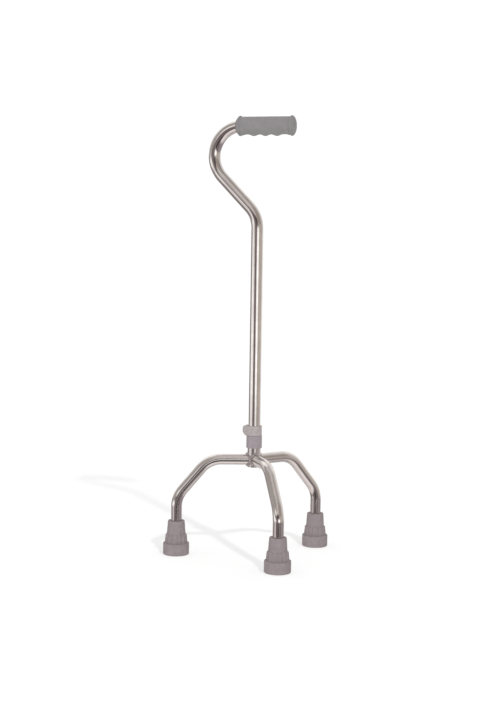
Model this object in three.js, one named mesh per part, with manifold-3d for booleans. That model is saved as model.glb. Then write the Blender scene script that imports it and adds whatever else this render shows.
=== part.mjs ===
// Tripod walking cane: a swan-neck shaft that telescopes in a socket on three bent, welded legs.
// Millimetres, +Z up. The origin is the point on the floor under the shaft's axis, and +X is the
// way the hand grip points. Every mesh is one physical piece.
import * as THREE from "three";
import { mergeVertices } from "three/addons/utils/BufferGeometryUtils.js";
import Module from "manifold-3d";

const wasm = await Module();
wasm.setup();

// Shared fits
const FIT_GAP = 0.3; // between pieces that touch
const SLIDE_GAP = 0.2; // radial clearance of a piece that slides
const CUT_MARGIN = 5; // how far a cutting tool runs past what it cuts

// Shaft
const SHAFT_RADIUS = 11;
const SHAFT_WALL = 1.2;
const SHAFT_BOTTOM = 168.3;
const NECK_BEND_RADIUS = 54; // centreline
const NECK_SETBACK = 85; // rearmost point of the centreline, behind the shaft's axis
const NECK_RAKE = THREE.MathUtils.degToRad(45); // slope of the neck's lower run, from the vertical
const GRIP_HEIGHT = 784.5; // centreline of the grip
const SHAFT_TIP = 57; // end of the tube inside the grip
const PLUG_LIP = 3; // thickness of the end plug below the tube
const PLUG_DEPTH = 12; // how far the end plug reaches up inside the tube
const PLUG_CHAMFER = 1.2;

// Height adjustment
const HOLE_PITCH = 25.4;
const HOLES_ABOVE = 5;
const HOLES_BELOW = 1;
const PIN_HEIGHT = 231.3;
const PIN_RADIUS = 2.5;
const HOLE_RADIUS = 2.9;

// Hand grip
const GRIP_START = -41;
const GRIP_END = 67.3;
const GRIP_RADIUS = 16.6;
const GRIP_FLANGE_RADIUS = 18.2;
const GRIP_FLANGE_START_INSET = 5.7; // from the inner end to the middle of its flange
const GRIP_FLANGE_END_INSET = 4;
const GRIP_FLANGE_HALF_WIDTH = 2.8;
const GRIP_NECK_RADIUS = 16.1; // the small groove beside each flange
const GRIP_MOUTH_RADIUS = 12.8; // where the grip tapers onto the tube
const GRIP_FACE_RADIUS = 14.5; // flat of the closed outer end
const FINGER_RIDGE_MIDDLE = 12.6; // where the middle one of the three ridges lies
const FINGER_RIDGE_PITCH = 22;
const FINGER_RIDGE_RADIUS = 18.4;
const FINGER_VALLEY_RADIUS = 15.4;
const VENT_RADIUS = 2.2;

// Socket that holds the shaft
const SOCKET_RADIUS = 12.2;
const SOCKET_BOTTOM = 164;
const SOCKET_TOP = 238.7;
const SLEEVE_RADIUS = 14.4;
const SLEEVE_BOTTOM = 199.3;
const SLEEVE_TOP = 222;
const SLEEVE_CHAMFER = 0.6;

// Lock collar and its nose
const COLLAR_RADIUS = 13.8;
const COLLAR_BOTTOM = 222.3;
const COLLAR_TOP = 240.2;
const NOSE_REACH = 21;
const NOSE_HALF_WIDTH = 6;
const NOSE_CORNER = 5; // radius of the nose's top edge
const NOSE_CHAMFER = 6; // 45 degree cut under the nose
const NOSE_PARTING = 18; // where the release cap meets the collar's nose
const PIN_CHAMBER_RADIUS = 4.3;
const PIN_CHAMBER_END = 16.9;
const PIN_TIP = 9.6; // distance from the shaft's axis, as for the rest of the pin
const PIN_TIP_CHAMFER = 0.6;
const PIN_FLANGE_START = 12.7;
const PIN_FLANGE_THICKNESS = 0.8;
const PIN_FLANGE_RADIUS = 3.8;
const PIN_TAIL_RADIUS = 1.6;
const PIN_TAIL_END = 19.4;
const SPRING_WIRE_RADIUS = 0.18;
const SPRING_COIL_RADIUS = 2.9;
const SPRING_TURNS = 3;

// Legs
const LEG_RADIUS = 10;
const LEG_WALL = 1.2;
const LEG_HEIGHT = 177.5; // centreline where the legs leave the socket
const LEG_LEVEL_RUN = 82; // from the shaft's axis to the corner of the upper bend
const LEG_SLOPE = THREE.MathUtils.degToRad(50); // of the straight middle run, below the level
const LEG_BEND_RADIUS = 48;
const FOOT_RADIUS = 141.5; // from the shaft's axis to each foot
const LEG_ROOT_GAP = 0.6; // between a coped leg end and the socket, filled by the weld
const WELD_RADIUS = 3;
const LEG_AZIMUTHS = { right: -51.5, left: 53.5, rear: 203.5 }; // degrees from +X

// Ferrules: a cone, a fluted skirt and a base ring, from the top down
const FERRULE_HEIGHT = 63;
const CONE_TOP_RADIUS = 15.4;
const CONE_BOTTOM_RADIUS = 17.3;
const SKIRT_TOP = 37.8;
const SKIRT_TOP_RADIUS = 19.4;
const SKIRT_BOTTOM_RADIUS = 21;
const RING_TOP = 21.5;
const RING_RADIUS = 24;
const RING_BOTTOM_CHAMFER = 2;
const FERRULE_EDGE = 1.2; // size of the rounded upper edges
const TREAD_GROOVES = [9.8, 16.8]; // middle radius of each ring groove in the tread
const TREAD_GROOVE_WIDTH = 3.6;
const TREAD_GROOVE_DEPTH = 1.5;
const FERRULE_BORE_BOTTOM = 14;
const WASHER_THICKNESS = 2;
const WASHER_RADIUS = 9.8;
const WASHER_HOLE_RADIUS = 3;

// Facets round each kind of piece
const TUBE_FACETS = 24;
const LEG_FACETS = 18;
const SMALL_FACETS = 16;
const BEND_STEP = THREE.MathUtils.degToRad(9);

// --- Solids ------------------------------------------------------------------------------------

function solidOf(geometry) {
  const bare = geometry.clone();
  bare.deleteAttribute("normal");
  bare.deleteAttribute("uv");
  const merged = mergeVertices(bare);
  return new wasm.Manifold(
    new wasm.Mesh({
      numProp: 3,
      vertProperties: merged.getAttribute("position").array,
      triVerts: new Uint32Array(merged.index.array),
    }),
  );
}

function geometryOf(solid) {
  const { vertProperties, triVerts } = solid.getMesh();
  const geometry = new THREE.BufferGeometry();
  geometry.setAttribute("position", new THREE.BufferAttribute(vertProperties, 3));
  geometry.setIndex(new THREE.BufferAttribute(triVerts, 1));
  geometry.computeVertexNormals();
  return geometry;
}

function cut(geometry, ...tools) {
  return geometryOf(tools.reduce((body, tool) => body.subtract(solidOf(tool)), solidOf(geometry)));
}

function common(geometry, ...others) {
  return geometryOf(others.reduce((body, other) => body.intersect(solidOf(other)), solidOf(geometry)));
}

// A profile of [radius, height] points turned round the Z axis.
function turned(profile, facets) {
  const points = profile.map(([radius, height]) => new THREE.Vector2(radius, height));
  return new THREE.LatheGeometry(points, facets).rotateX(Math.PI / 2);
}

// A small profile turned round an axis that runs backward (-X) from the shaft.
function turnedBackward(profile) {
  return turned(profile, SMALL_FACETS).rotateY(-Math.PI / 2);
}

function rod(radius, start, end) {
  return [[0, start], [radius, start], [radius, end], [0, end]];
}

function ring(inner, outer, bottom, top) {
  return [[inner, bottom], [outer, bottom], [outer, top], [inner, top], [inner, bottom]];
}

// --- Bent tubes --------------------------------------------------------------------------------

// A route of straight runs joined by bends of one radius. Its stations lie at the ends of the
// straight runs and every few degrees round the bends.
class BentRoute extends THREE.Curve {
  constructor(corners, bendRadius) {
    super();
    this.stations = [];
    const last = corners.length - 1;
    const heading = (i) => corners[i + 1].clone().sub(corners[i]).normalize();
    this.addStation(corners[0], heading(0));
    for (let i = 1; i < last; i++) this.addBend(corners[i], heading(i - 1), heading(i), bendRadius);
    this.addStation(corners[last], heading(last - 1));
  }

  addStation(point, tangent) {
    this.stations.push({ point: point.clone(), tangent: tangent.clone() });
  }

  addBend(corner, before, after, radius) {
    const turn = before.angleTo(after);
    const start = corner.clone().addScaledVector(before, -radius * Math.tan(turn / 2));
    const axis = before.clone().cross(after).normalize();
    const centre = start.clone().addScaledVector(axis.clone().cross(before), radius);
    const steps = Math.ceil(turn / BEND_STEP);
    for (let i = 0; i <= steps; i++) {
      const angle = (turn * i) / steps;
      const point = start.clone().sub(centre).applyAxisAngle(axis, angle).add(centre);
      this.addStation(point, before.clone().applyAxisAngle(axis, angle));
    }
  }

  stationAt(u) {
    return this.stations[Math.round(u * (this.stations.length - 1))];
  }

  getPoint(t) {
    return this.stationAt(t).point.clone();
  }

  getPointAt(u) {
    return this.getPoint(u);
  }

  getTangentAt(u) {
    return this.stationAt(u).tangent.clone();
  }
}

function disc(radius, boreRadius = 0) {
  const shape = new THREE.Shape().absarc(0, 0, radius, 0, 2 * Math.PI);
  if (boreRadius) shape.holes.push(new THREE.Path().absarc(0, 0, boreRadius, 0, 2 * Math.PI, true));
  return shape;
}

function swept(shape, extrudePath, steps, facets) {
  return new THREE.ExtrudeGeometry(shape, { extrudePath, steps, curveSegments: facets / 2 });
}

function bentTube(route, radius, facets, boreRadius) {
  return swept(disc(radius, boreRadius), route, route.stations.length - 1, facets);
}

// --- Shaft, grip and end plug ------------------------------------------------------------------

// The upper bend's centre is set by the setback and the grip's height; the raked run is its tangent.
function neckCorner() {
  const centreX = NECK_BEND_RADIUS - NECK_SETBACK;
  const centreZ = GRIP_HEIGHT - NECK_BEND_RADIUS;
  const touchX = centreX - NECK_BEND_RADIUS * Math.cos(NECK_RAKE);
  const touchZ = centreZ - NECK_BEND_RADIUS * Math.sin(NECK_RAKE);
  return new THREE.Vector3(0, 0, touchZ + touchX / Math.tan(NECK_RAKE));
}

// Where the raked run and the grip's line would meet.
function crownCorner(lower) {
  const rise = GRIP_HEIGHT - lower.z;
  return new THREE.Vector3(-rise * Math.tan(NECK_RAKE), 0, GRIP_HEIGHT);
}

function shaftRoute(bottom, tip) {
  const neck = neckCorner();
  const corners = [
    new THREE.Vector3(0, 0, bottom),
    neck,
    crownCorner(neck),
    new THREE.Vector3(tip, 0, GRIP_HEIGHT),
  ];
  return new BentRoute(corners, NECK_BEND_RADIUS);
}

function shaftGeometry() {
  const tube = bentTube(
    shaftRoute(SHAFT_BOTTOM, SHAFT_TIP),
    SHAFT_RADIUS,
    TUBE_FACETS,
    SHAFT_RADIUS - SHAFT_WALL,
  );
  const holes = [];
  for (let i = -HOLES_BELOW; i <= HOLES_ABOVE; i++) {
    const drill = turnedBackward(rod(HOLE_RADIUS, SHAFT_RADIUS / 2, SHAFT_RADIUS + CUT_MARGIN));
    holes.push(drill.translate(0, 0, PIN_HEIGHT + i * HOLE_PITCH));
  }
  return cut(tube, ...holes);
}

function endPlugGeometry() {
  const lipRadius = SHAFT_RADIUS - FIT_GAP;
  const stemRadius = SHAFT_RADIUS - SHAFT_WALL - FIT_GAP;
  const shoulder = SHAFT_BOTTOM - FIT_GAP;
  return turned(
    [
      [0, shoulder - PLUG_LIP],
      [lipRadius - PLUG_CHAMFER, shoulder - PLUG_LIP],
      [lipRadius, shoulder - PLUG_LIP + PLUG_CHAMFER],
      [lipRadius, shoulder],
      [stemRadius, shoulder],
      [stemRadius, SHAFT_BOTTOM + PLUG_DEPTH - PLUG_CHAMFER],
      [stemRadius - PLUG_CHAMFER, SHAFT_BOTTOM + PLUG_DEPTH],
      [0, SHAFT_BOTTOM + PLUG_DEPTH],
    ],
    TUBE_FACETS,
  );
}

const firstFlange = GRIP_START + GRIP_FLANGE_START_INSET;
const lastFlange = GRIP_END - GRIP_FLANGE_END_INSET;

function gripProfile() {
  const half = GRIP_FLANGE_HALF_WIDTH;
  const stations = 20;
  const body = [];
  for (let i = 0; i <= stations; i++) {
    const along = THREE.MathUtils.lerp(firstFlange + 2 * half, lastFlange - 2 * half, i / stations);
    body.push([GRIP_RADIUS, along]);
  }
  return [
    [0, GRIP_START],
    [GRIP_MOUTH_RADIUS, GRIP_START],
    [GRIP_NECK_RADIUS, firstFlange - half],
    [GRIP_FLANGE_RADIUS, firstFlange - half / 3],
    [GRIP_FLANGE_RADIUS, firstFlange + half / 3],
    [GRIP_NECK_RADIUS, firstFlange + half],
    ...body,
    [GRIP_NECK_RADIUS, lastFlange - half],
    [GRIP_FLANGE_RADIUS, lastFlange - half / 3],
    [GRIP_FLANGE_RADIUS, lastFlange + half / 3],
    [GRIP_RADIUS, lastFlange + half],
    [GRIP_FACE_RADIUS, GRIP_END],
    [0, GRIP_END],
  ];
}

// Finger waves: the lower half swells to a ridge under each flange and between the fingers.
function pressFingers(geometry) {
  const position = geometry.getAttribute("position");
  const crests = [firstFlange, lastFlange];
  for (const step of [-1, 0, 1]) {
    crests.push(FINGER_RIDGE_MIDDLE + step * FINGER_RIDGE_PITCH);
  }
  for (let i = 0; i < position.count; i++) {
    const toCrest = Math.min(...crests.map((crest) => Math.abs(position.getX(i) - crest)));
    const rise = THREE.MathUtils.smoothstep(FINGER_RIDGE_PITCH / 2 - toCrest, 0, FINGER_RIDGE_PITCH / 2);
    const depth = THREE.MathUtils.lerp(FINGER_VALLEY_RADIUS, FINGER_RIDGE_RADIUS, rise);
    const below = THREE.MathUtils.smoothstep(-position.getZ(i), 0, GRIP_RADIUS);
    const onFlange = Math.hypot(position.getY(i), position.getZ(i)) > GRIP_RADIUS + FIT_GAP;
    const scale = onFlange ? 1 : THREE.MathUtils.lerp(1, depth / GRIP_RADIUS, below);
    position.setY(i, position.getY(i) * scale);
    position.setZ(i, position.getZ(i) * scale);
  }
  return geometry;
}

function gripGeometry() {
  const body = pressFingers(turned(gripProfile(), TUBE_FACETS).rotateY(Math.PI / 2));
  body.translate(0, 0, GRIP_HEIGHT);
  const bore = bentTube(
    shaftRoute(GRIP_HEIGHT / 2, SHAFT_TIP + FIT_GAP),
    SHAFT_RADIUS + FIT_GAP,
    TUBE_FACETS,
  );
  const vent = turned(rod(VENT_RADIUS, 0, GRIP_END + CUT_MARGIN), SMALL_FACETS).rotateY(Math.PI / 2);
  return cut(body, bore, vent.translate(0, 0, GRIP_HEIGHT));
}

// --- Socket, sleeve and lock -------------------------------------------------------------------

function pinBore(radius, start, end) {
  return turnedBackward(rod(radius, start, end)).translate(0, 0, PIN_HEIGHT);
}

function socketGeometry() {
  const wall = ring(SHAFT_RADIUS + SLIDE_GAP, SOCKET_RADIUS, SOCKET_BOTTOM, SOCKET_TOP);
  const pinHole = pinBore(HOLE_RADIUS, SHAFT_RADIUS - CUT_MARGIN, SOCKET_RADIUS + CUT_MARGIN);
  return cut(turned(wall, TUBE_FACETS), pinHole);
}

function sleeveGeometry() {
  const inner = SOCKET_RADIUS + SLIDE_GAP;
  const edge = SLEEVE_RADIUS - SLEEVE_CHAMFER;
  return turned(
    [
      [inner, SLEEVE_BOTTOM],
      [edge, SLEEVE_BOTTOM],
      [SLEEVE_RADIUS, SLEEVE_BOTTOM + SLEEVE_CHAMFER],
      [SLEEVE_RADIUS, SLEEVE_TOP - SLEEVE_CHAMFER],
      [edge, SLEEVE_TOP],
      [inner, SLEEVE_TOP],
      [inner, SLEEVE_BOTTOM],
    ],
    TUBE_FACETS,
  );
}

// The collar seen from above: a ring with sides that run straight to the flat tip of the nose.
function nosePlan() {
  const reach = Math.hypot(NOSE_REACH, NOSE_HALF_WIDTH);
  const tipAngle = Math.atan2(NOSE_HALF_WIDTH, -NOSE_REACH);
  const tangentAngle = tipAngle - Math.acos(COLLAR_RADIUS / reach);
  const plan = new THREE.Shape();
  plan.absarc(0, 0, COLLAR_RADIUS, -tangentAngle, tangentAngle);
  plan.lineTo(-NOSE_REACH, NOSE_HALF_WIDTH);
  plan.lineTo(-NOSE_REACH, -NOSE_HALF_WIDTH);
  return plan;
}

// The collar seen from its side: level top with a round corner over the nose, 45 degree cut below.
function noseSide() {
  const side = new THREE.Shape();
  side.moveTo(COLLAR_RADIUS, COLLAR_BOTTOM);
  side.lineTo(COLLAR_RADIUS, COLLAR_TOP);
  side.lineTo(-NOSE_REACH + NOSE_CORNER, COLLAR_TOP);
  side.absarc(-NOSE_REACH + NOSE_CORNER, COLLAR_TOP - NOSE_CORNER, NOSE_CORNER, Math.PI / 2, Math.PI);
  side.lineTo(-NOSE_REACH, COLLAR_BOTTOM + NOSE_CHAMFER);
  side.lineTo(-NOSE_REACH + NOSE_CHAMFER, COLLAR_BOTTOM);
  return side;
}

// The outer form shared by the collar and its release cap, kept between two planes across X.
function noseBlock(fromX, toX) {
  const width = 4 * COLLAR_RADIUS;
  const plan = new THREE.ExtrudeGeometry(nosePlan(), {
    depth: COLLAR_TOP - COLLAR_BOTTOM,
    bevelEnabled: false,
    curveSegments: TUBE_FACETS / 2,
  });
  const side = new THREE.ExtrudeGeometry(noseSide(), {
    depth: width,
    bevelEnabled: false,
    curveSegments: SMALL_FACETS / 4,
  });
  const slab = new THREE.BoxGeometry(toX - fromX, width, width);
  return common(
    plan.translate(0, 0, COLLAR_BOTTOM),
    side.rotateX(Math.PI / 2).translate(0, width / 2, 0),
    slab.translate((fromX + toX) / 2, 0, COLLAR_BOTTOM),
  );
}

function collarGeometry() {
  const socketBore = rod(SOCKET_RADIUS + SLIDE_GAP, COLLAR_BOTTOM - CUT_MARGIN, SOCKET_TOP + FIT_GAP);
  const shaftBore = rod(SHAFT_RADIUS + FIT_GAP, COLLAR_BOTTOM, COLLAR_TOP + CUT_MARGIN);
  return cut(
    noseBlock(-NOSE_PARTING, COLLAR_RADIUS + CUT_MARGIN),
    turned(socketBore, TUBE_FACETS),
    turned(shaftBore, TUBE_FACETS),
    pinBore(PIN_CHAMBER_RADIUS, 0, PIN_CHAMBER_END),
    pinBore(PIN_TAIL_RADIUS + FIT_GAP, 0, NOSE_PARTING + CUT_MARGIN),
  );
}

function releaseCapGeometry() {
  return cut(
    noseBlock(-NOSE_REACH - CUT_MARGIN, -NOSE_PARTING - FIT_GAP),
    pinBore(PIN_TAIL_RADIUS + SLIDE_GAP, 0, PIN_TAIL_END + FIT_GAP),
  );
}

function pinGeometry() {
  const flangeEnd = PIN_FLANGE_START + PIN_FLANGE_THICKNESS;
  return turnedBackward([
    [0, PIN_TIP],
    [PIN_RADIUS - PIN_TIP_CHAMFER, PIN_TIP],
    [PIN_RADIUS, PIN_TIP + PIN_TIP_CHAMFER],
    [PIN_RADIUS, PIN_FLANGE_START],
    [PIN_FLANGE_RADIUS, PIN_FLANGE_START],
    [PIN_FLANGE_RADIUS, flangeEnd],
    [PIN_TAIL_RADIUS, flangeEnd],
    [PIN_TAIL_RADIUS, PIN_TAIL_END],
    [0, PIN_TAIL_END],
  ]).translate(0, 0, PIN_HEIGHT);
}

class SpringHelix extends THREE.Curve {
  constructor(start, end) {
    super();
    this.start = start;
    this.end = end;
  }

  getPoint(t) {
    const angle = 2 * Math.PI * SPRING_TURNS * t;
    return new THREE.Vector3(
      -THREE.MathUtils.lerp(this.start, this.end, t),
      SPRING_COIL_RADIUS * Math.cos(angle),
      PIN_HEIGHT + SPRING_COIL_RADIUS * Math.sin(angle),
    );
  }
}

function springGeometry() {
  const clearance = FIT_GAP + SPRING_WIRE_RADIUS;
  const start = PIN_FLANGE_START + PIN_FLANGE_THICKNESS + clearance;
  const helix = new SpringHelix(start, PIN_CHAMBER_END - clearance);
  const stepsPerTurn = 12;
  const wireFacets = 6;
  return swept(disc(SPRING_WIRE_RADIUS), helix, SPRING_TURNS * stepsPerTurn, wireFacets);
}

// --- Legs, in a frame whose +X runs out from the shaft along the leg ---------------------------

function legGeometry() {
  const drop = (FOOT_RADIUS - LEG_LEVEL_RUN) * Math.tan(LEG_SLOPE);
  const bottom = FERRULE_BORE_BOTTOM + WASHER_THICKNESS + 2 * FIT_GAP;
  const corners = [
    new THREE.Vector3(SOCKET_RADIUS / 2, 0, LEG_HEIGHT),
    new THREE.Vector3(LEG_LEVEL_RUN, 0, LEG_HEIGHT),
    new THREE.Vector3(FOOT_RADIUS, 0, LEG_HEIGHT - drop),
    new THREE.Vector3(FOOT_RADIUS, 0, bottom),
  ];
  const route = new BentRoute(corners, LEG_BEND_RADIUS);
  const tube = bentTube(route, LEG_RADIUS, LEG_FACETS, LEG_RADIUS - LEG_WALL);
  const cope = rod(SOCKET_RADIUS + LEG_ROOT_GAP, LEG_HEIGHT - 2 * LEG_RADIUS, LEG_HEIGHT + 2 * LEG_RADIUS);
  return cut(tube, turned(cope, TUBE_FACETS));
}

// Half of the seam where a leg's surface meets the socket's.
class HalfSeam extends THREE.Curve {
  constructor(startAngle) {
    super();
    this.startAngle = startAngle;
  }

  getPoint(t) {
    const overlap = 0.1;
    const angle = this.startAngle + (Math.PI + overlap) * t;
    const across = LEG_RADIUS * Math.sin(angle);
    return new THREE.Vector3(
      Math.sqrt(SOCKET_RADIUS ** 2 - across ** 2),
      across,
      LEG_HEIGHT + LEG_RADIUS * Math.cos(angle),
    );
  }
}

// The sector round the shaft's axis that one leg's weld keeps to.
function sector(toPrevious, toNext) {
  const reach = 4 * SOCKET_RADIUS;
  const shape = new THREE.Shape();
  shape.moveTo(FIT_GAP, 0);
  shape.lineTo(FIT_GAP + reach * Math.cos(toPrevious), -reach * Math.sin(toPrevious));
  shape.lineTo(reach, 0);
  shape.lineTo(FIT_GAP + reach * Math.cos(toNext), reach * Math.sin(toNext));
  const prism = new THREE.ExtrudeGeometry(shape, { depth: 4 * LEG_RADIUS, bevelEnabled: false });
  return prism.translate(0, 0, LEG_HEIGHT - 2 * LEG_RADIUS);
}

function weldGeometry(toPrevious, toNext) {
  const steps = 14;
  const beadFacets = 10;
  const half = (start) => solidOf(swept(disc(WELD_RADIUS), new HalfSeam(start), steps, beadFacets));
  const bead = geometryOf(half(0).add(half(Math.PI)));
  const socket = rod(SOCKET_RADIUS + FIT_GAP, LEG_HEIGHT - 2 * LEG_RADIUS, LEG_HEIGHT + 2 * LEG_RADIUS);
  const leg = turned(rod(LEG_RADIUS + FIT_GAP, 0, 3 * SOCKET_RADIUS), LEG_FACETS).rotateY(Math.PI / 2);
  return common(
    cut(bead, turned(socket, TUBE_FACETS), leg.translate(0, 0, LEG_HEIGHT)),
    sector(toPrevious, toNext),
  );
}

function ferruleGeometry() {
  const bore = LEG_RADIUS + FIT_GAP;
  const tread = TREAD_GROOVES.flatMap((middle) => [
    [middle - TREAD_GROOVE_WIDTH / 2, 0],
    [middle - TREAD_GROOVE_WIDTH / 3, TREAD_GROOVE_DEPTH],
    [middle + TREAD_GROOVE_WIDTH / 3, TREAD_GROOVE_DEPTH],
    [middle + TREAD_GROOVE_WIDTH / 2, 0],
  ]);
  return turned(
    [
      [0, 0],
      ...tread,
      [RING_RADIUS - RING_BOTTOM_CHAMFER, 0],
      [RING_RADIUS, RING_BOTTOM_CHAMFER],
      [RING_RADIUS, RING_TOP - FERRULE_EDGE],
      [RING_RADIUS - FERRULE_EDGE, RING_TOP],
      [SKIRT_BOTTOM_RADIUS, RING_TOP],
      [SKIRT_TOP_RADIUS, SKIRT_TOP - FERRULE_EDGE],
      [CONE_BOTTOM_RADIUS, SKIRT_TOP],
      [CONE_TOP_RADIUS, FERRULE_HEIGHT - FERRULE_EDGE],
      [CONE_TOP_RADIUS - FERRULE_EDGE, FERRULE_HEIGHT],
      [bore, FERRULE_HEIGHT],
      [bore, FERRULE_BORE_BOTTOM],
      [0, FERRULE_BORE_BOTTOM],
    ],
    TUBE_FACETS,
  );
}

function washerGeometry() {
  const bottom = FERRULE_BORE_BOTTOM + FIT_GAP;
  return turned(ring(WASHER_HOLE_RADIUS, WASHER_RADIUS, bottom, bottom + WASHER_THICKNESS), SMALL_FACETS);
}

// --- Materials ---------------------------------------------------------------------------------

function metal(color, roughness) {
  return new THREE.MeshStandardMaterial({ color, roughness, metalness: 1 });
}

function moulded(color, roughness) {
  return new THREE.MeshStandardMaterial({ color, roughness, metalness: 0 });
}

const chromedSteel = () => metal(0xd8d4d2, 0.08);
const weldMetal = () => metal(0xc4bfbe, 0.3);
const plainSteel = () => metal(0x9a9a9c, 0.35);
const gripVinyl = () => moulded(0x8c8a8b, 0.55);
const collarPlastic = () => moulded(0xb3acac, 0.6);
const sleevePlastic = () => moulded(0xa49da3, 0.4);
const plugNylon = () => moulded(0x2b2b2d, 0.5);
const ferruleRubber = () => moulded(0x96888c, 0.75);

// --- Assembly ----------------------------------------------------------------------------------

function piece(name, geometry, material) {
  const mesh = new THREE.Mesh(geometry, material);
  mesh.name = name;
  return mesh;
}

function upperAssembly() {
  const upper = new THREE.Group();
  upper.add(piece("swan_neck_shaft", shaftGeometry(), chromedSteel()));
  upper.add(piece("hand_grip", gripGeometry(), gripVinyl()));
  upper.add(piece("shaft_end_plug", endPlugGeometry(), plugNylon()));
  return upper;
}

function lockAssembly() {
  const lock = new THREE.Group();
  lock.add(piece("lock_pin", pinGeometry(), plainSteel()));
  lock.add(piece("pin_spring", springGeometry(), plainSteel()));
  lock.add(piece("release_cap", releaseCapGeometry(), collarPlastic()));
  return lock;
}

function socketAssembly() {
  const socket = new THREE.Group();
  socket.add(piece("socket_tube", socketGeometry(), chromedSteel()));
  socket.add(piece("socket_sleeve", sleeveGeometry(), sleevePlastic()));
  socket.add(piece("lock_collar", collarGeometry(), collarPlastic()));
  return socket;
}

function footAssembly(side) {
  const foot = new THREE.Group();
  foot.add(piece(`ferrule_${side}`, ferruleGeometry(), ferruleRubber()));
  foot.add(piece(`ferrule_washer_${side}`, washerGeometry(), plainSteel()));
  foot.position.x = FOOT_RADIUS;
  return foot;
}

function legAssembly(side, azimuth, toPrevious, toNext) {
  const leg = new THREE.Group();
  leg.add(piece(`leg_${side}`, legGeometry(), chromedSteel()));
  leg.add(piece(`weld_${side}`, weldGeometry(toPrevious, toNext), weldMetal()));
  leg.add(footAssembly(side));
  leg.rotation.z = azimuth;
  return leg;
}

// Half the angle, in radians, from one azimuth round to the next, both in degrees.
function halfAngle(from, to) {
  return THREE.MathUtils.degToRad(THREE.MathUtils.euclideanModulo(to - from, 360)) / 2;
}

function baseAssembly() {
  const base = new THREE.Group();
  base.add(socketAssembly());
  const legs = Object.entries(LEG_AZIMUTHS);
  legs.forEach(([side, azimuth], i) => {
    const [, previous] = legs[(i + legs.length - 1) % legs.length];
    const [, next] = legs[(i + 1) % legs.length];
    const angle = THREE.MathUtils.degToRad(azimuth);
    base.add(legAssembly(side, angle, halfAngle(previous, azimuth), halfAngle(azimuth, next)));
  });
  return base;
}

const cane = new THREE.Group();
cane.add(baseAssembly(), upperAssembly(), lockAssembly());

export default cane;
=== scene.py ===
"""The looks of the tripod walking cane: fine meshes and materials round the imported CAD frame.

Metres, +Z up, the origin on the floor under the shaft's axis, +X the way the hand grip points.
"""

import math

import bmesh
import bpy
import numpy as np
from mathutils import Matrix, Vector


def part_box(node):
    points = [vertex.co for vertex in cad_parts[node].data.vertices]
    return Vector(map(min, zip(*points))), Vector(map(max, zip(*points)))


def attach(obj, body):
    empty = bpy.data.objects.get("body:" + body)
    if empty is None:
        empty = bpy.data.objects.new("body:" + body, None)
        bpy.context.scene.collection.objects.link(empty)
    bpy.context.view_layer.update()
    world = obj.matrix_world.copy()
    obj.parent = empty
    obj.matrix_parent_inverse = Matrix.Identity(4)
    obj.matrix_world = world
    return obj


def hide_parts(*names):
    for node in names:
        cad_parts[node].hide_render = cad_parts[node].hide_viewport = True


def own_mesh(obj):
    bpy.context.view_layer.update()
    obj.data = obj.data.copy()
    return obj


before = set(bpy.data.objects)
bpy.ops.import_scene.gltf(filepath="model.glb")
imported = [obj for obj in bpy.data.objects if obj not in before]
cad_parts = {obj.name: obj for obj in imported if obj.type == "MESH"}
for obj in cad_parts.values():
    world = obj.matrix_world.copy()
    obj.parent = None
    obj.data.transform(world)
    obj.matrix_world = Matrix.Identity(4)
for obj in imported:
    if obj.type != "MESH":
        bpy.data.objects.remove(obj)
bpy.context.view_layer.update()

# --- Dimensions, finishes and light ---

MM = 0.001

shaft_low, shaft_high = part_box("swan_neck_shaft")
grip_low, grip_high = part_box("hand_grip")
plug_low, plug_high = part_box("shaft_end_plug")
socket_low, socket_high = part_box("socket_tube")
sleeve_low, sleeve_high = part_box("socket_sleeve")
collar_low, collar_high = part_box("lock_collar")
cap_low, cap_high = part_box("release_cap")
pin_low, pin_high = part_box("lock_pin")
spring_low, spring_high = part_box("pin_spring")

# Shaft
SHAFT_RADIUS = shaft_high.y
SHAFT_WALL = 1.2 * MM
GRIP_HEIGHT = shaft_high.z - SHAFT_RADIUS
NECK_SETBACK = -(shaft_low.x + SHAFT_RADIUS)
NECK_BEND_RADIUS = 54 * MM
NECK_RAKE = math.radians(45)
PLUG_LIP = 3 * MM

# Height adjustment
HOLE_PITCH = 25.4 * MM
HOLES_ABOVE = 5
HOLES_BELOW = 1
HOLE_RADIUS = 2.9 * MM
HOLE_EDGE = 0.25 * MM
HOLE_COURSES = (1 / 3, 2 / 3)  # where the loops between a hole and its window's border lie
PIN_HEIGHT = (pin_low.z + pin_high.z) / 2

# Hand grip
GRIP_RADIUS = 16.6 * MM
GRIP_FLANGE_RADIUS = 18.2 * MM
GRIP_NECK_RADIUS = 16.1 * MM
GRIP_MOUTH_RADIUS = 12.8 * MM
GRIP_FACE_RADIUS = 14.5 * MM
GRIP_FLANGE_HALF_WIDTH = 2.8 * MM
FINGER_RIDGES = (-9.4 * MM, 12.6 * MM, 34.6 * MM)
FINGER_RIDGE_REACH = 11 * MM  # from a ridge's crest to the valley beside it
FINGER_RIDGE_ROUNDING = 2.5 * MM
FINGER_RIDGE_POWER = 1.4  # above 1 it narrows the crests
FINGER_RIDGE_RADIUS = 18.4 * MM
FINGER_VALLEY_RADIUS = 15.4 * MM
FINGER_SPREAD = (0.1, 0.95)  # where the waves start and are full, as a share of the way down
GRIP_DIMPLE_RADIUS = 5 * MM  # of the dish round the vent hole
GRIP_DIMPLE_DEPTH = 2.8 * MM
FIRST_FLANGE = grip_low.x + 5.7 * MM
LAST_FLANGE = grip_high.x - 4 * MM
VENT_RADIUS = 2.2 * MM
TUBE_GAP = 0.3 * MM

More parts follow.
